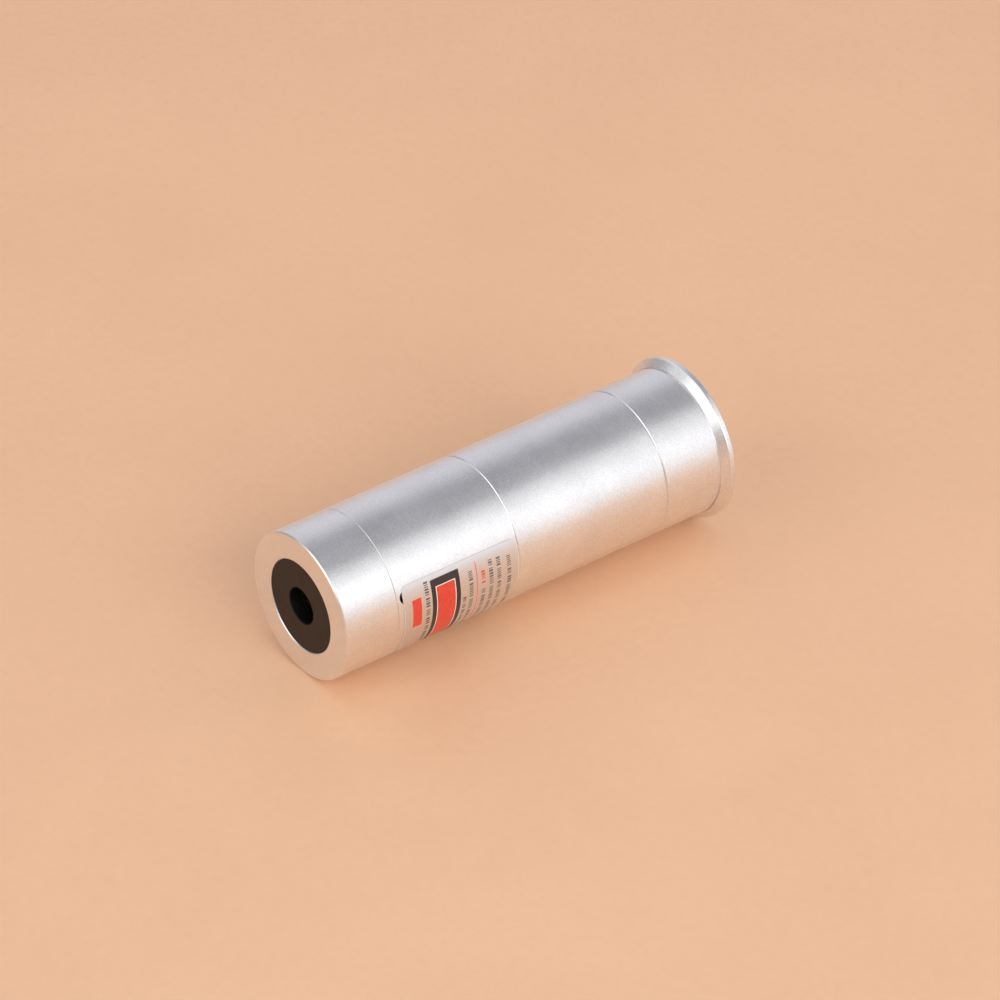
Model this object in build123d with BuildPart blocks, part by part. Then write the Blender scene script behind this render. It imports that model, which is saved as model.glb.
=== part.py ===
"""Cartridge-shaped laser collimator, in millimetres.

Stations run from the front face (0) to the base (length) along the long axis. The frame has its
origin at the centre of the base, the beam leaves towards -Y, and +Z is up. Angles round the axis
start at the top (+Z) and grow towards +X.
"""

import os
from math import atan2, cos, degrees, radians, sin

from build123d import *

os.makedirs("parts", exist_ok=True)

# Outside shape
length = 62.35
body_radius = 10.2
rim_radius = 11.25
rim_front = 60.4
rim_edge = 61.35
rear_break = 0.4
edge_break = 0.15
bezel_seam = 8.15
middle_seam = 27.35
tail_seam = 51.55
seam_break = 0.12
fine_seam_break = 0.1
bezel_seam_break = 0.05
bezel_rebate_width = 0.06
bezel_rebate_depth = 0.25
seam_gap = 0.03
socket_gap = 0.1
rim_relief = 0.12
rim_relief_width = 0.3

# Front opening
mouth_radius = 6.5
mouth_recess = 0.15
disc_thickness = 1.9
disc_gap = 0.04
aperture_radius = 2.55
lip_radius = 5.9
lip_end = 3.25

# Spigots that join the shells, each in a bore 0.05 mm larger
front_spigot_radius = 8.45
middle_spigot_radius = 7.95
spigot_fit = 0.05
spigot_break = 0.15
middle_socket_start = 22.25
module_bore_radius = 6.7
barrel_bore_radius = 7.0

# Tail thread. A tooth's root and crest are each (depth from the core radius, half width).
thread_pitch = 1.0
groove_root = (-0.15, 0.42)
groove_crest = (0.43, 0.18)
ridge_root = (-0.2, 0.40)
ridge_crest = (0.5, 0.12)
groove_runout = 0.9
thread_core_radius = 7.45
thread_bore_radius = 7.62
thread_relief_radius = 8.2
thread_relief_start = 43.55
thread_bore_start = 44.35
seal_bore_start = 49.85
seal_bore_radius = 8.6
cap_spigot_start = 43.75
cap_bore_radius = 6.3
cap_bore_end = 54.85
seal_groove_start = 50.05
seal_groove_radius = 7.2
tail_seal_gap = 0.08
base_ring_inner = 2.8
base_ring_outer = 3.1
base_ring_depth = 0.25

# Aim screws: three radial M2 grub screws
screw_station = 9.6
screw_angles = (74, 194, 314)
screw_radius = 0.95
screw_hole_radius = 1.0
screw_tip = 6.45
screw_length = 3.0
socket_flats = 0.9
socket_depth = 1.3

# Laser module
module_radius = 6.2
module_front = 3.85
module_rear = 22.65
pivot_station = 18.25
pivot_groove_width = 1.2
pivot_groove_radius = 5.7
pivot_seal_gap = 0.03
lens_bore_radius = 5.0
lens_bore_end = 13.25
diode_wall_end = 14.45
diode_hole_radius = 2.9
board_bore_radius = 5.2
lens_radius = 4.9
lens_front = 6.15
lens_edge = 7.35
lens_rear = 8.85
retainer_front = 4.45
retainer_rear = 6.45
retainer_slot_width = 0.9
retainer_slot_depth = 0.7
lens_spring_radius = 4.4
board_front = 17.85
board_rear = 18.85
component_circle = 3.9
component_break = 0.08
insulator_wall = 0.3
small_gap = 0.05
board_gap = 0.1
contact_gap = 0.15
fine_wire_radius = 0.25
heavy_wire_radius = 0.35

# Laser diode, a 5.6 mm can, and the ring that holds it
diode_seat_depth = 0.35
diode_ring_height = 2.0
diode_ring_bore = 2.3
flange_radius = 2.85
flange_thickness = 1.2
can_front = 12.65
can_radius = 1.78
window_radius = 1.0
window_depth = 0.25
window_inset = 0.02
pin_circle_radius = 1.27
pin_radius = 0.22
pin_hole_radius = 0.3
pin_tail = 0.15

# Button cells, LR44 size
cell_count = 3
cell_radius = 5.8
cell_height = 5.4
first_cell = 26.75
cell_wall = 0.25
cell_crimp = 0.25
cell_cap_radius = 4.6
cell_fit = 0.02
crimp_lip = 0.35
gasket_wall = 0.3
gasket_end = 1.6
cap_skirt_wall = 0.2
sleeve_inner_radius = 5.95
sleeve_outer_radius = 6.95
sleeve_front = 24.45
sleeve_rear = 43.45

# Contact plate in the tail cap
plate_thickness = 0.6
boss_radius = 1.4
boss_height = 0.5

# Label film on the front barrel
label_start = 9.0
label_end = 27.05
label_first_angle = 65.5
label_last_angle = 181
label_corner = 1.0
label_gap = 0.01
label_thickness = 0.06

tolerance = 1e-4


def at(station):
    """The Y of a station."""
    return station - length


def half_section(*corners):
    """The closed half profile through (station, radius) corners, ready to revolve."""
    with BuildSketch(Plane.XY) as section:
        with BuildLine():
            Polyline([(radius, at(station)) for station, radius in corners], close=True)
        make_face()
    return section.sketch


def ring(front, rear, inner, outer):
    """The half profile of a plain ring between two stations and two radii."""
    return half_section((front, inner), (front, outer), (rear, outer), (rear, inner))


def outer_edges(part, radius, station=None):
    """The circular edges of that radius, all of them or only those at one station."""
    circles = part.edges().filter_by(GeomType.CIRCLE)
    same = circles.filter_by(lambda edge: abs(edge.radius - radius) < tolerance)
    if station is None:
        return same
    return same.filter_by(lambda edge: abs(edge.arc_center.Y - at(station)) < tolerance)


def axis_plane(angle):
    """The half plane that holds the long axis, at that angle round it. Its X is the radius."""
    return Plane.XY.rotated((0, angle - 90, 0))


def radial_plane(angle, station, radius=0.0):
    """The plane that faces outward at that angle, station and radius."""
    outward = Vector(sin(radians(angle)), 0, cos(radians(angle)))
    return Plane(outward * radius + Vector(0, at(station), 0), x_dir=(0, 1, 0), z_dir=outward)


def thread(root_radius, first, last, root, crest):
    """A right-hand thread's winding. root and crest are (depth from root_radius, half width)."""
    with BuildLine() as path:
        Helix(thread_pitch, last - first, root_radius, (0, at(first), 0), (0, 1, 0))
    start = path.line @ 0
    outward = Vector(start.X, 0, start.Z)
    with BuildSketch(Plane(start, x_dir=outward, z_dir=path.line % 0)) as tooth:
        with BuildLine():
            Polyline((root[0], -root[1]), (crest[0], -crest[1]), crest, root, close=True)
        make_face()
    with BuildPart() as winding:
        sweep(sections=tooth.sketch, path=path.line, is_frenet=True)
    return winding.part


def spring(front, rear, front_radius, rear_radius, turns, wire_radius):
    """A helical or conical spring of round wire between two stations."""
    height = rear - front - 2 * wire_radius
    taper = degrees(atan2(rear_radius - front_radius, height))
    with BuildLine() as path:
        Helix(height / turns, height, front_radius, (0, at(front + wire_radius), 0), (0, 1, 0), taper)
    with BuildSketch(Plane(path.line @ 0, z_dir=path.line % 0)) as wire:
        Circle(wire_radius)
    with BuildPart() as coil:
        sweep(sections=wire.sketch, path=path.line, is_frenet=True)
    return coil


def o_ring(station, inner, outer, gap):
    """A round-section seal between two radii, clear of both by the gap."""
    with BuildPart() as seal:
        with BuildSketch(Plane.XY):
            with Locations(((inner + outer) / 2, at(station))):
                Circle((outer - inner) / 2 - gap)
        revolve(axis=Axis.Y)
    return seal


# Shells ---------------------------------------------------------------------------------------

with BuildPart() as bezel:
    disc_rear = mouth_recess + disc_thickness
    revolve(
        half_section(
            (0, mouth_radius),
            (0, body_radius),
            (bezel_seam - bezel_rebate_width, body_radius),
            (bezel_seam - bezel_rebate_width, body_radius - bezel_rebate_depth),
            (bezel_seam, body_radius - bezel_rebate_depth),
            (bezel_seam, front_spigot_radius + spigot_fit),
            (lip_end, front_spigot_radius + spigot_fit),
            (lip_end, lip_radius),
            (disc_rear, lip_radius),
            (disc_rear, mouth_radius),
        ),
        axis=Axis.Y,
    )
    chamfer(outer_edges(bezel, body_radius, 0), edge_break)
    chamfer(outer_edges(bezel, mouth_radius, 0), fine_seam_break)
bezel.part.label = "bezel"

with BuildPart() as aperture_disc:
    revolve(ring(mouth_recess, disc_rear, aperture_radius, mouth_radius - disc_gap), axis=Axis.Y)
    chamfer(outer_edges(aperture_disc, aperture_radius), fine_seam_break)
aperture_disc.part.label = "aperture_disc"

with BuildPart() as front_barrel:
    spigot_start = lip_end + socket_gap
    revolve(
        half_section(
            (spigot_start, module_bore_radius),
            (spigot_start, front_spigot_radius),
            (bezel_seam, front_spigot_radius),
            (bezel_seam, body_radius),
            (middle_seam, body_radius),
            (middle_seam, middle_spigot_radius + spigot_fit),
            (middle_socket_start, middle_spigot_radius + spigot_fit),
            (middle_socket_start, module_bore_radius),
        ),
        axis=Axis.Y,
    )
    chamfer(outer_edges(front_barrel, front_spigot_radius, spigot_start), spigot_break)
    chamfer(outer_edges(front_barrel, body_radius, bezel_seam), bezel_seam_break)
    chamfer(outer_edges(front_barrel, body_radius, middle_seam), seam_break)
    for angle in screw_angles:
        with BuildSketch(radial_plane(angle, screw_station)):
            Circle(screw_hole_radius)
        extrude(amount=2 * body_radius, mode=Mode.SUBTRACT)
front_barrel.part.label = "front_barrel"

with BuildPart() as battery_barrel:
    spigot_start = middle_socket_start + socket_gap
    revolve(
        half_section(
            (spigot_start, barrel_bore_radius),
            (spigot_start, middle_spigot_radius),
            (middle_seam, middle_spigot_radius),
            (middle_seam, body_radius),
            (tail_seam, body_radius),
            (tail_seam, thread_bore_radius),
            (thread_bore_start, thread_bore_radius),
            (thread_bore_start, thread_relief_radius),
            (thread_relief_start, thread_relief_radius),
            (thread_relief_start, barrel_bore_radius),
        ),
        axis=Axis.Y,
    )
    # The thread runs out inside the wall, and the seal's bore then opens its rear end.
    groove_start = thread_bore_start - thread_pitch / 2
    groove_end = tail_seam - groove_runout
    groove = thread(thread_bore_radius, groove_start, groove_end, groove_root, groove_crest)
    add(groove, mode=Mode.SUBTRACT)
    seal_bore = ring(seal_bore_start, tail_seam, 0, seal_bore_radius)
    revolve(seal_bore, axis=Axis.Y, mode=Mode.SUBTRACT)
    chamfer(outer_edges(battery_barrel, middle_spigot_radius, spigot_start), spigot_break)
    chamfer(outer_edges(battery_barrel, body_radius), seam_break)
battery_barrel.part.label = "battery_barrel"

with BuildPart() as tail_cap:
    shoulder = tail_seam + seam_gap
    revolve(
        half_section(
            (cap_spigot_start, cap_bore_radius),
            (cap_spigot_start, thread_core_radius),
            (seal_groove_start, thread_core_radius),
            (seal_groove_start, seal_groove_radius),
            (shoulder, seal_groove_radius),
            (shoulder, body_radius),
            (rim_front - rim_relief_width, body_radius),
            (rim_front - rim_relief_width, body_radius - rim_relief),
            (rim_front, body_radius - rim_relief),
            (rim_front, body_radius + rim_relief),
            (rim_edge, rim_radius),
            (length, rim_radius),
            (length, base_ring_outer),
            (length - base_ring_depth, base_ring_outer),
            (length - base_ring_depth, base_ring_inner),
            (length, base_ring_inner),
            (length, 0),
            (cap_bore_end, 0),
            (cap_bore_end, cap_bore_radius),
        ),
        axis=Axis.Y,
    )
    chamfer(outer_edges(tail_cap, thread_core_radius, cap_spigot_start), spigot_break)
    chamfer(outer_edges(tail_cap, body_radius, shoulder), seam_break)
    chamfer(outer_edges(tail_cap, rim_radius, length), rear_break)
    fillet(outer_edges(tail_cap, rim_radius, rim_edge), fine_seam_break)
    ridge_start = groove_start + thread_pitch
    ridge_end = seal_groove_start - thread_pitch
    add(thread(thread_core_radius, ridge_start, ridge_end, ridge_root, ridge_crest))
tail_cap.part.label = "tail_cap"

tail_o_ring = o_ring(
    seal_groove_start + (seal_bore_radius - seal_groove_radius) / 2,
    seal_groove_radius,
    seal_bore_radius,
    tail_seal_gap,
)
tail_o_ring.part.label = "tail_o_ring"

# Aim screws -----------------------------------------------------------------------------------

aim_screws = []
for number, angle in enumerate(screw_angles, start=1):
    with BuildPart() as aim_screw:
        with BuildSketch(radial_plane(angle, screw_station, screw_tip)):
            Circle(screw_radius)
        extrude(amount=screw_length)
        chamfer(aim_screw.edges().filter_by(GeomType.CIRCLE), fine_seam_break)
        with BuildSketch(radial_plane(angle, screw_station, screw_tip + screw_length)):
            RegularPolygon(socket_flats / 2, 6, major_radius=False)
        extrude(amount=-socket_depth, mode=Mode.SUBTRACT)
    aim_screw.part.label = f"aim_screw_{number}"
    aim_screws.append(aim_screw)

# Laser module ---------------------------------------------------------------------------------

with BuildPart() as module_housing:
    groove_front = pivot_station - pivot_groove_width / 2
    groove_rear = pivot_station + pivot_groove_width / 2
    revolve(
        half_section(
            (module_front, lens_bore_radius),
            (module_front, module_radius),
            (groove_front, module_radius),
            (groove_front, pivot_groove_radius),
            (groove_rear, pivot_groove_radius),
            (groove_rear, module_radius),
            (module_rear, module_radius),
            (module_rear, board_bore_radius),
            (diode_wall_end, board_bore_radius),
            (diode_wall_end, diode_hole_radius),
            (lens_bore_end, diode_hole_radius),
            (lens_bore_end, lens_bore_radius),
        ),
        axis=Axis.Y,
    )
    chamfer(outer_edges(module_housing, module_radius, module_front), seam_break)
    chamfer(outer_edges(module_housing, module_radius, module_rear), seam_break)
module_housing.part.label = "module_housing"

pivot_o_ring = o_ring(pivot_station, pivot_groove_radius, module_bore_radius, pivot_seal_gap)
pivot_o_ring.part.label = "pivot_o_ring"

with BuildPart() as lens_retainer:
    retainer_radius = lens_bore_radius - small_gap
    revolve(ring(retainer_front, retainer_rear, diode_hole_radius, retainer_radius), axis=Axis.Y)
    with BuildSketch(Plane.XZ.offset(-at(retainer_front))):
        Rectangle(3 * lens_bore_radius, retainer_slot_width)
    extrude(amount=-retainer_slot_depth, mode=Mode.SUBTRACT)
lens_retainer.part.label = "lens_retainer"

with BuildPart() as collimating_lens:
    with BuildSketch(Plane.XY):
        with BuildLine():
            sagitta = lens_edge - lens_front
            middle = (lens_radius / 2, at(lens_front + sagitta / 4))
            ThreePointArc((0, at(lens_front)), middle, (lens_radius, at(lens_edge)))
            Polyline(
                (lens_radius, at(lens_edge)),
                (lens_radius, at(lens_rear)),
                (0, at(lens_rear)),
                (0, at(lens_front)),
            )
        make_face()
    revolve(axis=Axis.Y)
collimating_lens.part.label = "collimating_lens"

lens_spring = spring(
    lens_rear + small_gap,
    lens_bore_end - small_gap,
    front_radius=lens_spring_radius,
    rear_radius=lens_spring_radius,
    turns=3,
    wire_radius=fine_wire_radius,
)
lens_spring.part.label = "lens_spring"

with BuildPart() as diode_ring:
    flange_front = diode_wall_end + diode_seat_depth
    ring_rear = diode_wall_end + diode_ring_height
    ring_radius = board_bore_radius - small_gap
    revolve(
        half_section(
            (diode_wall_end, diode_ring_bore),
            (diode_wall_end, ring_radius),
            (ring_rear, ring_radius),
            (ring_rear, flange_radius),
            (flange_front, flange_radius),
            (flange_front, diode_ring_bore),
        ),
        axis=Axis.Y,
    )
diode_ring.part.label = "diode_ring"

with BuildPart() as laser_diode:
    flange_rear = flange_front + flange_thickness
    revolve(
        half_section(
            (can_front + window_depth, 0),
            (can_front + window_depth, window_radius),
            (can_front, window_radius),
            (can_front, can_radius),
            (flange_front, can_radius),
            (flange_front, flange_radius - small_gap),
            (flange_rear, flange_radius - small_gap),
            (flange_rear, 0),
        ),
        axis=Axis.Y,
    )
laser_diode.part.label = "laser_diode"

with BuildPart() as diode_window:
    window_front = can_front + window_inset
    revolve(
        half_section(
            (window_front, 0),
            (window_front, window_radius - small_gap),
            (can_front + window_depth, window_radius - small_gap),
            (can_front + window_depth, 0),
        ),
        axis=Axis.Y,
    )
diode_window.part.label = "diode_window"

with BuildPart() as diode_pins:
    with BuildSketch(Plane.XZ.offset(-at(flange_rear))):
        with PolarLocations(pin_circle_radius, 3):
            Circle(pin_radius)
    extrude(amount=-(board_rear + pin_tail - flange_rear))
diode_pins.part.label = "diode_pins"

with BuildPart() as driver_board:
    with BuildSketch(Plane.XZ.offset(-at(board_front))):
        Circle(board_bore_radius - board_gap)
        with PolarLocations(pin_circle_radius, 3):
            Circle(pin_hole_radius, mode=Mode.SUBTRACT)
    extrude(amount=-(board_rear - board_front))
driver_board.part.label = "driver_board"


def on_board(angle, width, depth, height):
    """A block on the rear of the driver board, at that angle on the component circle."""
    with BuildPart() as block:
        with BuildSketch(Plane.XZ.offset(-at(board_rear))):
            turn = radians(angle)
            with Locations((component_circle * sin(turn), component_circle * cos(turn))):
                Rectangle(depth, width, rotation=90 - angle)
        extrude(amount=-height)
        chamfer(block.faces().sort_by(Axis.Y)[-1].edges(), component_break)
    return block


driver_chip = on_board(angle=270, width=2.2, depth=1.3, height=0.9)
driver_chip.part.label = "driver_chip"

driver_capacitor = on_board(angle=90, width=1.6, depth=0.9, height=0.9)
driver_capacitor.part.label = "driver_capacitor"

with BuildPart() as driver_resistors:
    for angle in (20, 160):
        add(on_board(angle, width=1.6, depth=0.8, height=0.5).part)
driver_resistors.part.label = "driver_resistors"

with BuildPart() as module_insulator:
    outer = board_bore_radius - small_gap
    inner = outer - insulator_wall
    revolve(ring(board_rear + small_gap, module_rear - board_gap, inner, outer), axis=Axis.Y)
module_insulator.part.label = "module_insulator"

front_contact_spring = spring(
    board_rear + contact_gap,
    first_cell - contact_gap,
    front_radius=2.4,
    rear_radius=1.5,
    turns=6,
    wire_radius=fine_wire_radius,
)
front_contact_spring.part.label = "front_contact_spring"

# Battery --------------------------------------------------------------------------------------

with BuildPart() as battery_sleeve:
    revolve(ring(sleeve_front, sleeve_rear, sleeve_inner_radius, sleeve_outer_radius), axis=Axis.Y)
    chamfer(outer_edges(battery_sleeve, sleeve_inner_radius, sleeve_rear), edge_break)
battery_sleeve.part.label = "battery_sleeve"

cells = []
inside = cell_radius - cell_wall
crimp_radius = inside - crimp_lip
skirt_outer = inside - gasket_wall - 2 * cell_fit
skirt_inner = skirt_outer - cap_skirt_wall
pack_neck = cell_cap_radius - cell_wall - cell_fit
for number in range(1, cell_count + 1):
    front = first_cell + (number - 1) * cell_height
    rear = front + cell_height
    lip_front = front + cell_crimp
    lip_rear = front + 2 * cell_crimp
    skirt_front = front + 3 * cell_crimp
    skirt_floor = front + 4 * cell_crimp
    skirt_end = front + gasket_end

    with BuildPart() as can:
        revolve(
            half_section(
                (lip_front, crimp_radius),
                (lip_front, cell_radius),
                (rear, cell_radius),
                (rear, 0),
                (rear - cell_wall, 0),
                (rear - cell_wall, inside),
                (lip_rear, inside),
                (lip_rear, crimp_radius),
            ),
            axis=Axis.Y,
        )
        fillet(outer_edges(can, cell_radius), fine_seam_break)
    can.part.label = f"cell_{number}_can"

    with BuildPart() as gasket:
        revolve(
            half_section(
                (lip_front, cell_cap_radius + cell_fit),
                (lip_front, crimp_radius - cell_fit),
                (lip_rear, crimp_radius - cell_fit),
                (lip_rear, inside - cell_fit),
                (skirt_end, inside - cell_fit),
                (skirt_end, skirt_outer + cell_fit),
                (skirt_front, skirt_outer + cell_fit),
                (skirt_front, cell_cap_radius + cell_fit),
            ),
            axis=Axis.Y,
        )
    gasket.part.label = f"cell_{number}_gasket"

    with BuildPart() as cap:
        revolve(
            half_section(
                (front, 0),
                (front, cell_cap_radius),
                (skirt_front, cell_cap_radius),
                (skirt_front, skirt_outer),
                (skirt_end, skirt_outer),
                (skirt_end, skirt_inner),
                (skirt_floor, skirt_inner),
                (skirt_floor, cell_cap_radius - cell_wall),
                (front + cell_wall, cell_cap_radius - cell_wall),
                (front + cell_wall, 0),
            ),
            axis=Axis.Y,
        )
        fillet(outer_edges(cap, cell_cap_radius, front), seam_break)
    cap.part.label = f"cell_{number}_cap"

    with BuildPart() as pack:
        revolve(
            half_section(
                (front + cell_wall, 0),
                (front + cell_wall, pack_neck),
                (skirt_end + small_gap, pack_neck),
                (skirt_end + small_gap, inside - cell_fit),
                (rear - cell_wall, inside - cell_fit),
                (rear - cell_wall, 0),
            ),
            axis=Axis.Y,
        )
    pack.part.label = f"cell_{number}_pack"
    cells += [can, gasket, cap, pack]

# Tail contact ---------------------------------------------------------------------------------

last_cell_end = first_cell + cell_count * cell_height
plate_front = cap_bore_end - plate_thickness

with BuildPart() as tail_contact_plate:
    revolve(
        half_section(
            (plate_front - boss_height, 0),
            (plate_front - boss_height, boss_radius),
            (plate_front, boss_radius),
            (plate_front, cap_bore_radius - small_gap),
            (cap_bore_end, cap_bore_radius - small_gap),
            (cap_bore_end, 0),
        ),
        axis=Axis.Y,
    )
tail_contact_plate.part.label = "tail_contact_plate"

tail_spring = spring(
    last_cell_end + small_gap,
    plate_front - small_gap,
    front_radius=2.6,
    rear_radius=5.2,
    turns=6,
    wire_radius=heavy_wire_radius,
)
tail_spring.part.label = "tail_spring"

# Label ----------------------------------------------------------------------------------------

with BuildPart() as label_film:
    film_inner = body_radius + label_gap
    with BuildSketch(axis_plane(label_first_angle)):
        with Locations((film_inner + label_thickness / 2, at((label_start + label_end) / 2))):
            Rectangle(label_thickness, label_end - label_start)
    revolve(axis=Axis.Y, revolution_arc=label_last_angle - label_first_angle)
    fillet(label_film.edges().filter_by(lambda edge: edge.length < 2 * label_thickness), label_corner)
label_film.part.label = "label_film"

pieces = [bezel, aperture_disc, front_barrel, battery_barrel, tail_cap, tail_o_ring]
pieces += aim_screws
pieces += [module_housing, pivot_o_ring, lens_retainer, collimating_lens, lens_spring]
pieces += [diode_ring, laser_diode, diode_window, diode_pins]
pieces += [driver_board, driver_chip, driver_capacitor, driver_resistors]
pieces += [module_insulator, front_contact_spring, battery_sleeve]
pieces += cells
pieces += [tail_contact_plate, tail_spring, label_film]
for piece in pieces:
    export_step(piece.part, f"parts/{piece.part.label}.step")
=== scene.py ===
"""Looks for a cartridge-shaped laser collimator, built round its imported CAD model.

Everything is in metres. The long axis is Y: the beam leaves at the low end, and the base is at
Y = 0. A station is a distance back from the front face, in millimetres, and an angle round the
axis starts at the top (+Z) and grows towards +X.
"""

import math
import random

import bmesh
import bpy
from mathutils import Matrix, Vector


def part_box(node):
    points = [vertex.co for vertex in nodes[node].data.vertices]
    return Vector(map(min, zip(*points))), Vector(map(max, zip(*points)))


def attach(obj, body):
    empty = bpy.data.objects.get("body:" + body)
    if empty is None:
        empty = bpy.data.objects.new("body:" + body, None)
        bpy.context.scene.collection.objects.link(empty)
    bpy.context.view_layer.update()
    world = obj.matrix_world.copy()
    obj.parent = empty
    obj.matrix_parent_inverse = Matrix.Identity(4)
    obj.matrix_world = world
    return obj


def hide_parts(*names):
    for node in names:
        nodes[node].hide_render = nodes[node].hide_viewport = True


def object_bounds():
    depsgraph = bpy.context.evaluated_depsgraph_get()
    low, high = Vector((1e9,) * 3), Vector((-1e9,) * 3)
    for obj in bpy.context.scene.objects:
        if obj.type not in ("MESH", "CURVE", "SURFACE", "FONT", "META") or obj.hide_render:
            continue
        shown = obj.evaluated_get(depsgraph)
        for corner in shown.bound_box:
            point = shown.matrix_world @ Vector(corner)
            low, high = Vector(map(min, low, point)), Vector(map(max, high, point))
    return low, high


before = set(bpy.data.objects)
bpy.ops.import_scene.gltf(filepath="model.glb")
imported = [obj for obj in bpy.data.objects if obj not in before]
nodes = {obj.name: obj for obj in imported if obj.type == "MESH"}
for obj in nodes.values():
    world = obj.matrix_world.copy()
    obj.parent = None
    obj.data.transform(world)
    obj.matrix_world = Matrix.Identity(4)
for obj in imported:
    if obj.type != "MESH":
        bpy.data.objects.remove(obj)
cad_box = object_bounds()
scene = bpy.context.scene
MM = 0.001

box_low, box_high = (Vector(corner) for corner in cad_box)
front_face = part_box("bezel")[0].y
body_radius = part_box("bezel")[1].x
rim_radius = box_high.z


def station(distance):
    """The Y of a station."""
    return front_face + distance * MM


# Materials ------------------------------------------------------------------------------------


class Shader:
    """A Principled material under construction, with short ways to add nodes to it."""

    def __init__(self, name, color, roughness, metallic=0.0, **settings):
        self.material = bpy.data.materials.new(name)
        self.material.use_nodes = True
        self.tree = self.material.node_tree
        self.bsdf = self.tree.nodes["Principled BSDF"]
        self.set("Base Color", (*color, 1.0))
        self.set("Roughness", roughness)
        self.set("Metallic", metallic)
        for socket, value in settings.items():
            self.set(socket.replace("_", " "), value)
        self.material.diffuse_color = (*color, 1.0)
        coords = self.node("ShaderNodeTexCoord")
        self.coords = coords.outputs["Object"]
        self.normal = coords.outputs["Normal"]
        self.relief = None

    def node(self, kind, **settings):
        made = self.tree.nodes.new(kind)
        for name, value in settings.items():
            setattr(made, name, value)
        return made

    def link(self, source, target):
        self.tree.links.new(source, target)

    def set(self, socket, value):
        self.bsdf.inputs[socket].default_value = value

    def feed(self, socket, source):
        self.link(source, self.bsdf.inputs[socket])

    def part(self, vector, axis):
        """The X, Y or Z of a vector."""
        split = self.node("ShaderNodeSeparateXYZ")
        self.link(vector, split.inputs[0])
        return split.outputs[axis]

    def math(self, operation, *values):
        """A Math node over sockets or numbers."""
        made = self.node("ShaderNodeMath", operation=operation)
        for socket, value in zip(made.inputs, values):
            if isinstance(value, (int, float)):
                socket.default_value = value
            else:
                self.link(value, socket)
        return made.outputs["Value"]

    def noise(self, size, detail=3.0, roughness=0.6):
        """Noise whose features are about that many metres across."""
        made = self.node("ShaderNodeTexNoise")
        made.inputs["Scale"].default_value = 1.0 / size
        made.inputs["Detail"].default_value = detail
        made.inputs["Roughness"].default_value = roughness
        self.link(self.coords, made.inputs["Vector"])
        return made.outputs["Fac"]

    def lines(self, value, pitch, detail=4.0):
        """Fine parallel lines of uneven strength along a value in metres."""
        made = self.node("ShaderNodeTexNoise", noise_dimensions="1D")
        made.inputs["Scale"].default_value = 1.0 / pitch
        made.inputs["Detail"].default_value = detail
        self.link(value, made.inputs["W"])
        return made.outputs["Fac"]

    def cells(self, size, feature="F1"):
        """Distance to the points of a cell pattern of that size."""
        made = self.node("ShaderNodeTexVoronoi", feature=feature)
        made.inputs["Scale"].default_value = 1.0 / size
        self.link(self.coords, made.inputs["Vector"])
        return made.outputs["Distance"]

    def from_axis(self):
        """The distance from the long axis."""
        across = self.part(self.coords, "X")
        up = self.part(self.coords, "Z")
        squares = self.math("ADD", self.math("POWER", across, 2.0), self.math("POWER", up, 2.0))
        return self.math("SQRT", squares)

    def end_faces(self):
        """1 where the surface faces along the long axis, 0 round the sides."""
        along = self.math("ABSOLUTE", self.part(self.normal, "Y"))
        return self.spread(along, 0.0, 1.0, 0.8, 0.95)

    def ramp(self, source, *stops):
        """A colour ramp through (position, colour or grey) stops."""
        made = self.node("ShaderNodeValToRGB")
        elements = made.color_ramp.elements
        while len(elements) < len(stops):
            elements.new(0.5)
        for element, (position, value) in zip(elements, stops):
            element.position = position
            element.color = (*(value if isinstance(value, tuple) else (value,) * 3), 1.0)
        self.link(source, made.inputs["Fac"])
        return made.outputs["Color"]

    def spread(self, source, low, high, start=0.0, end=1.0):
        """Maps start..end of a value to low..high."""
        made = self.node("ShaderNodeMapRange")
        for name, value in (("From Min", start), ("From Max", end), ("To Min", low), ("To Max", high)):
            made.inputs[name].default_value = value
        self.link(source, made.inputs["Value"])
        return made.outputs["Result"]

    def blend(self, factor, low, high, blend_type="MIX"):
        """A mix of two colours, each a socket or an RGB tuple. The factor is a socket or a number."""
        made = self.node("ShaderNodeMix", data_type="RGBA", blend_type=blend_type)
        # The node's colour sockets are inputs 6 and 7, and output 2.
        sockets = (made.inputs["Factor"], made.inputs[6], made.inputs[7])
        for socket, value in zip(sockets, (factor, low, high)):
            if isinstance(value, tuple):
                socket.default_value = (*value, 1.0)
            elif isinstance(value, float):
                socket.default_value = value
            else:
                self.link(value, socket)
        return made.outputs[2]

    def bump(self, height, depth, strength=1.0):
        """Adds relief of that depth, in metres, on top of any that is there."""
        made = self.node("ShaderNodeBump")
        made.inputs["Distance"].default_value = depth
        made.inputs["Strength"].default_value = strength
        self.link(height, made.inputs["Height"])
        if self.relief:
            self.link(self.relief, made.inputs["Normal"])
        self.relief = made.outputs["Normal"]
        self.feed("Normal", self.relief)


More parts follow.
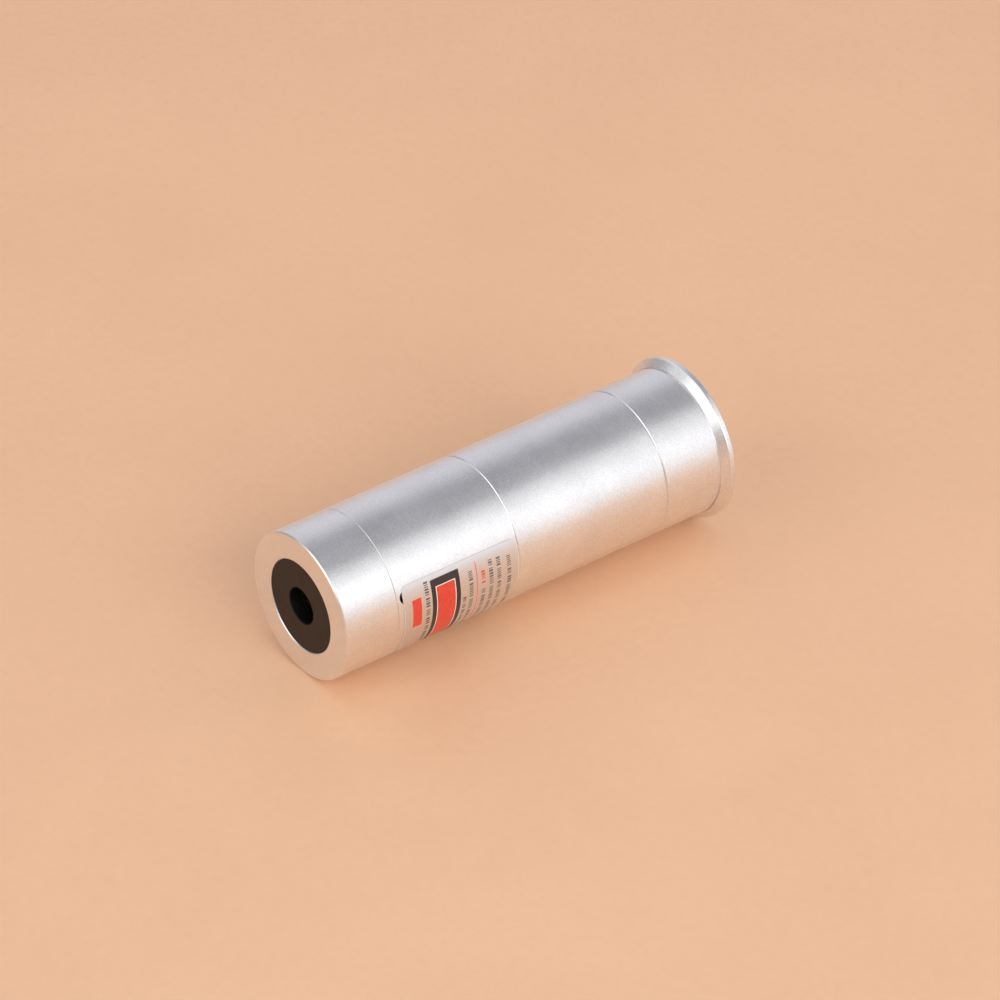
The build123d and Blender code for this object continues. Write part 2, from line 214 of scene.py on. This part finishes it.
def blasted_aluminium():
    """Bead-blasted, clear-anodised aluminium: fine dimples, with turning rings on the end faces."""
    metal = Shader("blasted_aluminium", (0.87, 0.87, 0.88), 0.26, metallic=1.0)
    dimples = metal.noise(0.12 * MM, detail=0)
    grain = metal.noise(0.2 * MM, detail=0)
    cloud = metal.noise(5 * MM, detail=3)
    ends = metal.end_faces()
    rings = metal.lines(metal.from_axis(), 0.12 * MM)
    speckle = metal.ramp(grain, (0.3, (0.835, 0.835, 0.845)), (0.7, (0.935, 0.935, 0.945)))
    tone = metal.blend(metal.math("MULTIPLY", ends, 0.7), speckle, (0.885, 0.885, 0.895))
    handled = metal.ramp(cloud, (0.35, 0.95), (0.65, 1.0))
    metal.feed("Base Color", metal.blend(1.0, tone, handled, "MULTIPLY"))
    sides = metal.math("ADD", metal.spread(grain, 0.31, 0.35, 0.3, 0.7), metal.spread(cloud, -0.02, 0.03))
    metal.feed("Roughness", metal.math("ADD", sides, metal.math("MULTIPLY", ends, 0.04)))
    metal.bump(metal.math("MULTIPLY", dimples, metal.spread(ends, 1.0, 0.15)), 0.018 * MM, 0.6)
    metal.bump(metal.math("MULTIPLY", rings, ends), 0.006 * MM, 0.5)
    return metal.material


def matt_black():
    """Black-anodised disc, with a dusty bloom and faint turning rings. Its side walls, the wall of its hole
    among them, carry painted shade: near-black in place of the shade inside the hole.
    """
    disc = Shader("matt_black", (0.024, 0.016, 0.012), 0.5, Specular_IOR_Level=0.3)
    grain = disc.noise(0.15 * MM, detail=3)
    bloom = disc.noise(2.5 * MM, detail=4)
    rings = disc.lines(disc.from_axis(), 0.15 * MM)
    dark = disc.ramp(bloom, (0.3, (0.013, 0.006, 0.004)), (0.7, (0.023, 0.012, 0.008)))
    dusty = disc.blend(disc.spread(grain, 0.0, 0.35, 0.4, 0.8), dark, (0.038, 0.024, 0.016))
    # Painted shade: surfaces round the sides, the wall of the hole among them, get near-black in place of
    # the shade inside the hole, and the end faces keep the dusty black
    disc.feed("Base Color", disc.blend(disc.end_faces(), (0.002, 0.002, 0.002), dusty))
    disc.feed("Roughness", disc.spread(grain, 0.42, 0.6))
    disc.bump(grain, 0.012 * MM, 0.5)
    disc.bump(rings, 0.005 * MM, 0.4)
    return disc.material


def rubber():
    seal = Shader("black_rubber", (0.018, 0.018, 0.019), 0.7, Sheen_Weight=0.15, Sheen_Roughness=0.5)
    grain = seal.noise(0.12 * MM, detail=4)
    seal.feed("Base Color", seal.ramp(grain, (0.3, 0.012), (0.7, 0.03)))
    seal.feed("Roughness", seal.spread(grain, 0.6, 0.85))
    seal.bump(grain, 0.01 * MM, 0.5)
    return seal.material


def black_oxide():
    """Blackened steel, with lighter rubbed spots."""
    steel = Shader("black_oxide_steel", (0.05, 0.05, 0.055), 0.42, metallic=0.9)
    rubbed = steel.noise(0.5 * MM, detail=5)
    grain = steel.noise(0.06 * MM)
    steel.feed("Base Color", steel.ramp(rubbed, (0.45, (0.02, 0.02, 0.022)), (0.75, (0.12, 0.12, 0.125))))
    steel.feed("Roughness", steel.spread(grain, 0.34, 0.55))
    steel.bump(grain, 0.005 * MM, 0.4)
    return steel.material


def turned_metal(name, dull, bright, roughness):
    """Turned metal with tool marks round the axis and patches of tarnish."""
    metal = Shader(name, bright, roughness, metallic=1.0)
    tarnish = metal.noise(1.8 * MM, detail=5)
    along = metal.part(metal.coords, "Y")
    marks = metal.lines(metal.math("ADD", along, metal.from_axis()), 0.08 * MM)
    metal.feed("Base Color", metal.ramp(tarnish, (0.35, dull), (0.6, bright)))
    metal.feed("Roughness", metal.spread(marks, roughness - 0.08, roughness + 0.1))
    metal.bump(marks, 0.004 * MM, 0.5)
    return metal.material


def drawn_wire():
    """Nickel-plated spring wire with fine drawing marks."""
    wire = Shader("spring_wire", (0.66, 0.64, 0.61), 0.25, metallic=1.0)
    streaks = wire.noise(0.1 * MM, detail=5)
    stain = wire.noise(1.5 * MM)
    wire.feed("Base Color", wire.ramp(stain, (0.3, (0.50, 0.48, 0.45)), (0.6, (0.72, 0.70, 0.67))))
    wire.feed("Roughness", wire.spread(streaks, 0.18, 0.38))
    wire.bump(streaks, 0.004 * MM, 0.4)
    return wire.material


def coated_glass():
    """Polished glass, its coating a little uneven."""
    glass = Shader("coated_glass", (0.95, 0.96, 1.0), 0.02, Transmission_Weight=1.0, IOR=1.52)
    coating = glass.noise(2.0 * MM, detail=2)
    glass.feed("Base Color", glass.ramp(coating, (0.3, (0.90, 0.93, 1.0)), (0.7, (0.98, 0.97, 1.0))))
    glass.feed("Roughness", glass.spread(coating, 0.01, 0.03))
    return glass.material


def circuit_board():
    """Green solder mask over copper tracks."""
    board = Shader("circuit_board", (0.02, 0.14, 0.06), 0.35, Coat_Weight=0.3)
    tracks = board.cells(1.1 * MM, feature="DISTANCE_TO_EDGE")
    weave = board.noise(0.2 * MM)
    mask = board.ramp(tracks, (0.06, (0.03, 0.22, 0.09)), (0.10, (0.012, 0.11, 0.045)))
    board.feed("Base Color", mask)
    board.feed("Roughness", board.spread(weave, 0.28, 0.42))
    board.bump(board.ramp(tracks, (0.05, 1.0), (0.12, 0.0)), 0.02 * MM, 0.6)
    return board.material


def moulded(name, dark, light, roughness, grain_size=0.15, depth=0.006):
    """Moulded or fired material between two tones, with a fine surface grain."""
    plastic = Shader(name, light, roughness)
    grain = plastic.noise(grain_size * MM, detail=4)
    flow = plastic.noise(2.0 * MM, detail=3)
    plastic.feed("Base Color", plastic.ramp(flow, (0.3, dark), (0.7, light)))
    plastic.feed("Roughness", plastic.spread(grain, roughness - 0.08, roughness + 0.08))
    plastic.bump(grain, depth * MM, 0.5)
    return plastic.material


def capacitor():
    """Fired ceramic with tinned ends."""
    body = Shader("capacitor_ceramic", (0.45, 0.30, 0.16), 0.45)
    across = body.math("ABSOLUTE", body.part(body.coords, "Z"))
    grain = body.noise(0.1 * MM)
    ends = body.spread(across, 0.0, 1.0, 0.5 * MM, 0.53 * MM)
    ceramic = body.ramp(grain, (0.3, (0.36, 0.23, 0.12)), (0.7, (0.50, 0.34, 0.19)))
    body.feed("Base Color", body.blend(ends, ceramic, (0.70, 0.70, 0.68)))
    body.feed("Metallic", ends)
    body.feed("Roughness", body.spread(grain, 0.32, 0.5))
    body.bump(grain, 0.01 * MM, 0.5)
    return body.material


def plated_cell():
    """Nickel-plated cell steel: bright, lightly brushed, with small handling marks."""
    steel = Shader("nickel_plate", (0.74, 0.73, 0.71), 0.2, metallic=1.0)
    marks = steel.noise(0.8 * MM, detail=6, roughness=0.75)
    rings = steel.lines(steel.from_axis(), 0.1 * MM)
    ends = steel.end_faces()
    steel.feed("Base Color", steel.ramp(marks, (0.4, (0.66, 0.65, 0.63)), (0.65, (0.80, 0.79, 0.77))))
    steel.feed("Roughness", steel.spread(marks, 0.14, 0.32, 0.35, 0.7))
    steel.bump(marks, 0.006 * MM, 0.3)
    steel.bump(steel.math("MULTIPLY", rings, ends), 0.004 * MM, 0.5)
    return steel.material


shells = ("bezel", "front_barrel", "battery_barrel", "tail_cap")
cell_numbers = (1, 2, 3)
finishes = [
    (blasted_aluminium(), shells),
    (matt_black(), ("aperture_disc",)),
    (rubber(), ("tail_o_ring", "pivot_o_ring")),
    (black_oxide(), ("aim_screw_1", "aim_screw_2", "aim_screw_3", "lens_retainer")),
    (
        turned_metal("turned_brass", (0.46, 0.30, 0.11), (0.70, 0.50, 0.20), 0.28),
        ("module_housing", "diode_ring", "tail_contact_plate"),
    ),
    (drawn_wire(), ("lens_spring", "front_contact_spring", "tail_spring")),
    (coated_glass(), ("collimating_lens", "diode_window")),
    (turned_metal("gilt", (0.66, 0.46, 0.17), (0.86, 0.63, 0.27), 0.18), ("laser_diode", "diode_pins")),
    (circuit_board(), ("driver_board",)),
    (
        moulded("chip_black", (0.012, 0.012, 0.013), (0.03, 0.03, 0.032), 0.5),
        ("driver_chip", "driver_resistors"),
    ),
    (capacitor(), ("driver_capacitor",)),
    (
        moulded("insulator_plastic", (0.72, 0.71, 0.68), (0.84, 0.83, 0.80), 0.3),
        ("module_insulator", "battery_sleeve"),
    ),
    (plated_cell(), [f"cell_{n}_{part}" for n in cell_numbers for part in ("can", "cap")]),
    (
        moulded("cell_gasket", (0.035, 0.05, 0.09), (0.06, 0.08, 0.13), 0.38),
        [f"cell_{n}_gasket" for n in cell_numbers],
    ),
    (
        moulded("cell_filling", (0.02, 0.02, 0.02), (0.07, 0.07, 0.07), 0.8, 0.3, 0.05),
        [f"cell_{n}_pack" for n in cell_numbers],
    ),
]
for material, names in finishes:
    for name in names:
        nodes[name].data.materials.clear()
        nodes[name].data.materials.append(material)


# Label ----------------------------------------------------------------------------------------

# The film's first and last station, its first and last angle, the radius of its corners, and the
# width of the pale line at its edge. The mesh and the printing go round in steps of ANGLE_STEP, and
# mesh lines are at least NARROWEST apart along the axis. FILM_GAP is the film's height off the metal.
LABEL_ENDS = (9.0, 27.05)
LABEL_ANGLES = (65.5, 181.0)
CORNER = 1.0
CORNER_STEPS = 4
BORDER = 0.09
ANGLE_STEP = 0.75
NARROWEST = 0.02
FILM_GAP = 0.01 * MM
film_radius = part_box("label_film")[1].x

# Generic printing. A band counts angle steps from the film's first edge, and None is the last edge.
# Solid marks: first station, last station, first band, last band, ink. Where two overlap, the first
# in the list shows.
SOLID_MARKS = (
    (10.3, 11.7, 18, 50, "red"),
    (14.2, 17.05, 15, 88, "red"),
    (14.07, 17.18, 14, 89, "white"),
    (13.4, 17.85, 6, 94, "black"),
    (20.43, 20.58, 7, None, "pale_red"),
)
# Rows of small blocks, in place of print: station of the middle, height, first band, last band, ink
BLOCK_ROWS = (
    (12.7, 0.6, 5, None, "grey"),
    (18.5, 0.5, 40, None, "grey"),
    (19.55, 0.6, 14, None, "grey"),
    (21.5, 0.6, 19, 34, "red"),
    (21.5, 0.6, 40, None, "grey"),
    (22.75, 0.6, 11, None, "grey"),
    (24.0, 0.6, 12, None, "grey"),
    (25.6, 0.6, 15, None, "grey"),
)
ROW_SEED = 11


def film():
    """Clear film over the metal: smoother than the metal, and a touch darker."""
    clear = Shader("label_film", (0.80, 0.815, 0.86), 0.3, metallic=1.0, Coat_Weight=0.3, Coat_Roughness=0.2)
    under = clear.noise(0.25 * MM, detail=2)
    ripple = clear.noise(3.0 * MM, detail=2)
    clear.feed("Base Color", clear.ramp(under, (0.3, (0.75, 0.77, 0.815)), (0.7, (0.81, 0.83, 0.875))))
    clear.feed("Roughness", clear.spread(under, 0.27, 0.35))
    clear.bump(under, 0.015 * MM, 0.5)
    clear.bump(ripple, 0.03 * MM, 0.3)
    return clear.material


def ink(name, thin, full, roughness=0.38):
    """Printing ink, uneven where it is thin."""
    print_ink = Shader(name, full, roughness, Coat_Weight=0.3, Coat_Roughness=0.15)
    cover = print_ink.noise(0.22 * MM, detail=4)
    print_ink.feed("Base Color", print_ink.ramp(cover, (0.25, thin), (0.5, full)))
    print_ink.feed("Roughness", print_ink.spread(cover, roughness - 0.08, roughness + 0.08))
    print_ink.bump(cover, 0.006 * MM, 0.5)
    return print_ink.material


INKS = {
    "film": film(),
    "border": ink("film_edge", (0.56, 0.54, 0.54), (0.64, 0.62, 0.62)),
    "black": ink("black_ink", (0.05, 0.04, 0.04), (0.016, 0.013, 0.013)),
    "red": ink("red_ink", (0.80, 0.14, 0.08), (0.72, 0.045, 0.025)),
    "pale_red": ink("pale_red_ink", (0.80, 0.30, 0.27), (0.72, 0.17, 0.15)),
    "grey": ink("grey_ink", (0.30, 0.26, 0.25), (0.10, 0.085, 0.08)),
    "white": ink("white_ink", (0.70, 0.62, 0.60), (0.82, 0.78, 0.76)),
}


def dashes(rng, middle, height, first, last, color):
    """Groups of small blocks round the film, in place of a line of print."""
    marks = []
    angle = first
    while angle < last:
        for _ in range(rng.randint(3, 8)):
            run = ANGLE_STEP * rng.choice((1, 1, 2))
            if angle + run < last:
                marks.append((middle - height / 2, middle + height / 2, angle, angle + run, color))
            angle += run + ANGLE_STEP
        angle += 2 * ANGLE_STEP
    return marks


def band_angle(band):
    """The angle of a band, where None is the last that is printed."""
    if band is None:
        return LABEL_ANGLES[1] - 3 * ANGLE_STEP
    return LABEL_ANGLES[0] + ANGLE_STEP * band


def artwork():
    """(first station, last station, first angle, last angle, ink) of each printed mark."""
    rng = random.Random(ROW_SEED)
    marks = [
        (low, high, band_angle(first), band_angle(last), color)
        for low, high, first, last, color in SOLID_MARKS
    ]
    for middle, height, first, last, color in BLOCK_ROWS:
        marks += dashes(rng, middle, height, band_angle(first), band_angle(last), color)
    return marks


def arc(angle):
    """The distance round the barrel from the film's first edge to an angle, in millimetres."""
    return math.radians(angle - LABEL_ANGLES[0]) * body_radius / MM


def ink_at(marks, distance, angle):
    """The ink at a spot on the film."""
    for low, high, first, last, color in marks:
        if low < distance < high and first < angle < last:
            return color
    nearest = min(
        distance - LABEL_ENDS[0],
        LABEL_ENDS[1] - distance,
        arc(angle),
        arc(LABEL_ANGLES[1]) - arc(angle),
    )
    return "border" if nearest < BORDER else "film"


def rounded(along, across, length, width):
    """Moves a point of a length by width rectangle so that its square corners become round ones."""
    spot = (along, across)
    sides = (length, width)
    inside = [min(max(value, CORNER), side - CORNER) for value, side in zip(spot, sides)]
    out = [(value - inner) / CORNER for value, inner in zip(spot, inside)]
    if not (out[0] and out[1]):
        return spot
    moved = (out[0] * math.sqrt(1 - out[1] ** 2 / 2), out[1] * math.sqrt(1 - out[0] ** 2 / 2))
    return tuple(inner + CORNER * step for inner, step in zip(inside, moved))


def label_lines(marks):
    """The stations and the angles of the film's mesh lines, with one on each edge of the printing."""
    low, high = LABEL_ENDS
    stations = {low, high, low + BORDER, high - BORDER}
    for step in range(1, CORNER_STEPS + 1):
        stations |= {low + CORNER * step / CORNER_STEPS, high - CORNER * step / CORNER_STEPS}
    stations |= {value for mark in marks for value in mark[:2]}
    stations |= set(range(math.ceil(low + CORNER), math.floor(high - CORNER) + 1))
    stations = sorted(round(value, 4) for value in stations)
    kept = [value for value, after in zip(stations, stations[1:]) if after - value > NARROWEST]
    kept.append(stations[-1])
    first, last = LABEL_ANGLES
    steps = round((last - first) / ANGLE_STEP)
    border_angle = math.degrees(BORDER * MM / body_radius)
    angles = [first, first + border_angle]
    angles += [first + ANGLE_STEP * step for step in range(1, steps)]
    angles += [last - border_angle, last]
    return kept, angles


def film_sheet(mesh, radius, stations, angles):
    """One face of the film: rows of vertices at a radius, one row at each station."""
    length = LABEL_ENDS[1] - LABEL_ENDS[0]
    sheet = []
    for distance in stations:
        row = []
        for angle in angles:
            along, across = rounded(distance - LABEL_ENDS[0], arc(angle), length, arc(LABEL_ANGLES[1]))
            turn = math.radians(LABEL_ANGLES[0]) + across * MM / body_radius
            y = station(LABEL_ENDS[0] + along)
            row.append(mesh.verts.new((radius * math.sin(turn), y, radius * math.cos(turn))))
        sheet.append(row)
    return sheet


def add_label():
    """The printed film on the front barrel, a closed thin shell."""
    marks = artwork()
    stations, angles = label_lines(marks)
    mesh = bmesh.new()
    top = film_sheet(mesh, film_radius, stations, angles)
    under = film_sheet(mesh, body_radius + FILM_GAP, stations, angles)
    order = list(INKS)
    rows, columns = len(stations), len(angles)
    for i in range(rows - 1):
        for j in range(columns - 1):
            face = mesh.faces.new((top[i][j], top[i + 1][j], top[i + 1][j + 1], top[i][j + 1]))
            middle = (stations[i] + stations[i + 1]) / 2
            angle = (angles[j] + angles[j + 1]) / 2
            face.material_index = order.index(ink_at(marks, middle, angle))
            mesh.faces.new((under[i][j], under[i][j + 1], under[i + 1][j + 1], under[i + 1][j]))
    edge = [(i, 0) for i in range(rows)] + [(rows - 1, j) for j in range(1, columns)]
    edge += [(i, columns - 1) for i in range(rows - 2, -1, -1)] + [(0, j) for j in range(columns - 2, 0, -1)]
    for (i, j), (m, n) in zip(edge, edge[1:] + edge[:1]):
        side = mesh.faces.new((top[i][j], under[i][j], under[m][n], top[m][n]))
        side.material_index = order.index("border")
    bmesh.ops.recalc_face_normals(mesh, faces=mesh.faces)
    data = bpy.data.meshes.new("label")
    mesh.to_mesh(data)
    mesh.free()
    for material in INKS.values():
        data.materials.append(material)
    label = bpy.data.objects.new("label", data)
    scene.collection.objects.link(label)
    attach(label, "root")
    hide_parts("label_film")


add_label()


# Scene ----------------------------------------------------------------------------------------

# The object lies on its rim and the edge of its nose, so the floor slopes against the long axis.
RIM_EDGE = 1.0 * MM
NOSE_EDGE = 0.3 * MM
FLOOR_GAP = 0.02 * MM
FLOOR_HALF_WIDTH = 3.0
rim_point = Vector((0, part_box("tail_cap")[1].y - RIM_EDGE, -rim_radius))
nose_point = Vector((0, front_face + NOSE_EDGE, -body_radius))
slope = math.atan2(nose_point.z - rim_point.z, rim_point.y - nose_point.y)
floor_up = Vector((0, math.sin(slope), math.cos(slope)))

# The camera's target, its azimuth and elevation from there, its distance and its lens
CAMERA_TARGET = (-1.378 * MM, station(32.912), 1.543 * MM)
CAMERA_DIRECTION = (53.47, 34.93)
CAMERA_DISTANCE = 0.7836
CAMERA_LENS = 217.3


def floor_material():
    """Pale peach card with a faint mottle."""
    card = Shader("peach_card", (0.905, 0.54, 0.324), 0.42, Specular_IOR_Level=0.4)
    mottle = card.noise(40 * MM, detail=5)
    fine = card.noise(1.5 * MM, detail=4)
    tone = card.ramp(mottle, (0.35, (0.89, 0.528, 0.316)), (0.65, (0.92, 0.552, 0.332)))
    speck = card.ramp(fine, (0.3, 0.97), (0.6, 1.0))
    card.feed("Base Color", card.blend(1.0, tone, speck, "MULTIPLY"))
    card.bump(fine, 0.05 * MM, 0.3)
    return card.material


def add_floor():
    mesh = bpy.data.meshes.new("floor")
    half = FLOOR_HALF_WIDTH
    corners = [(-half, -half, 0), (half, -half, 0), (half, half, 0), (-half, half, 0)]
    mesh.from_pydata(corners, [], [(0, 1, 2, 3)])
    mesh.materials.append(floor_material())
    floor = bpy.data.objects.new("floor", mesh)
    scene.collection.objects.link(floor)
    floor.rotation_euler = (-slope, 0, 0)
    floor.location = nose_point - floor_up * FLOOR_GAP


def toward(azimuth, elevation):
    """The direction from the object at that azimuth (0 is -Y, 90 is +X) and elevation."""
    turn, rise = math.radians(azimuth), math.radians(elevation)
    flat = math.cos(rise)
    return Vector((flat * math.sin(turn), -flat * math.cos(turn), math.sin(rise)))


def look_at(thing, spot, target, up):
    """Places a camera or light at spot, facing target."""
    back = (spot - target).normalized()
    right = up.cross(back).normalized()
    above = back.cross(right)
    turn = Matrix((right, above, back)).transposed().to_4x4()
    thing.matrix_world = Matrix.Translation(spot) @ turn


def add_camera():
    """The view from the front right, a long lens a little under 0.8 m away."""
    data = bpy.data.cameras.new("camera")
    data.sensor_width = 36
    data.lens = CAMERA_LENS
    data.clip_start = 0.05
    camera = bpy.data.objects.new("camera", data)
    scene.collection.objects.link(camera)
    target = Vector(CAMERA_TARGET)
    look_at(camera, target + toward(*CAMERA_DIRECTION) * CAMERA_DISTANCE, target, floor_up)
    scene.camera = camera


# Softboxes: name, azimuth, elevation, distance, width, height, radiance
SOFTBOXES = (
    # The broad highlight along the body
    ("side_box", 130, 28, 0.9, 1.0, 1.0, 0.7),
    # Mirrored in the rim's cone, and lights the floor that the front face mirrors
    ("front_box", 4, 32, 1.6, 1.75, 1.25, 1.55),
    # Keeps the floor on the camera's side of the body from going dark
    ("camera_box", 80, 28, 1.6, 1.3, 0.9, 3.9),
    # Softens the shadow on the far side of the body
    ("left_box", 290, 45, 1.6, 1.2, 1.0, 1.0),
)
# World brightness by height (0 is the horizon and below, 1 straight up). Nothing polished enough to
# mirror it faces straight up, so the bright top only lights the floor.
SKY_STOPS = ((0.0, 0.64), (0.45, 0.72), (0.68, 0.60), (0.81, 0.20), (0.92, 0.12), (1.0, 2.0))
SKY_TINT = (1.0, 0.98, 1.05)
# The world fades towards -Y and towards +X: (from, to, brightness there) along each direction
FRONT_FADE = (-0.5, 0.1, 0.2, 1.0)
RIGHT_FADE = (0.1, 0.5, 1.0, 0.35)


def add_softbox(name, azimuth, elevation, distance, width, height, radiance):
    """A rectangular light facing the object. Its radiance is that of a white wall lit to 1."""
    data = bpy.data.lights.new(name, "AREA")
    data.shape = "RECTANGLE"
    data.size = width
    data.size_y = height
    data.energy = radiance * math.pi * width * height
    light = bpy.data.objects.new(name, data)
    scene.collection.objects.link(light)
    target = (box_low + box_high) / 2
    look_at(light, target + toward(azimuth, elevation) * distance, target, Vector((0, 0, 1)))


def add_world():
    """A pale room with a dark band overhead, darker towards the front and the right."""
    world = bpy.data.worlds.new("studio")
    scene.world = world
    world.use_nodes = True
    tree = world.node_tree
    background = tree.nodes["Background"]
    coords = tree.nodes.new("ShaderNodeTexCoord")
    split = tree.nodes.new("ShaderNodeSeparateXYZ")
    ramp = tree.nodes.new("ShaderNodeValToRGB")
    front = tree.nodes.new("ShaderNodeMapRange")
    right = tree.nodes.new("ShaderNodeMapRange")
    both = tree.nodes.new("ShaderNodeMath")
    both.operation = "MULTIPLY"
    tree.links.new(coords.outputs["Generated"], split.inputs[0])
    tree.links.new(split.outputs["Z"], ramp.inputs["Fac"])
    tree.links.new(ramp.outputs["Color"], background.inputs["Color"])
    tree.links.new(split.outputs["Y"], front.inputs["Value"])
    tree.links.new(split.outputs["X"], right.inputs["Value"])
    tree.links.new(front.outputs["Result"], both.inputs[0])
    tree.links.new(right.outputs["Result"], both.inputs[1])
    tree.links.new(both.outputs["Value"], background.inputs["Strength"])
    for side, limits in ((front, FRONT_FADE), (right, RIGHT_FADE)):
        for name, value in zip(("From Min", "From Max", "To Min", "To Max"), limits):
            side.inputs[name].default_value = value
    elements = ramp.color_ramp.elements
    while len(elements) < len(SKY_STOPS):
        elements.new(0.5)
    for element, (position, value) in zip(elements, SKY_STOPS):
        element.position = position
        element.color = (*(value * tint for tint in SKY_TINT), 1.0)


add_floor()
add_camera()
add_world()
for softbox in SOFTBOXES:
    add_softbox(*softbox)
scene.view_settings.view_transform = "Standard"
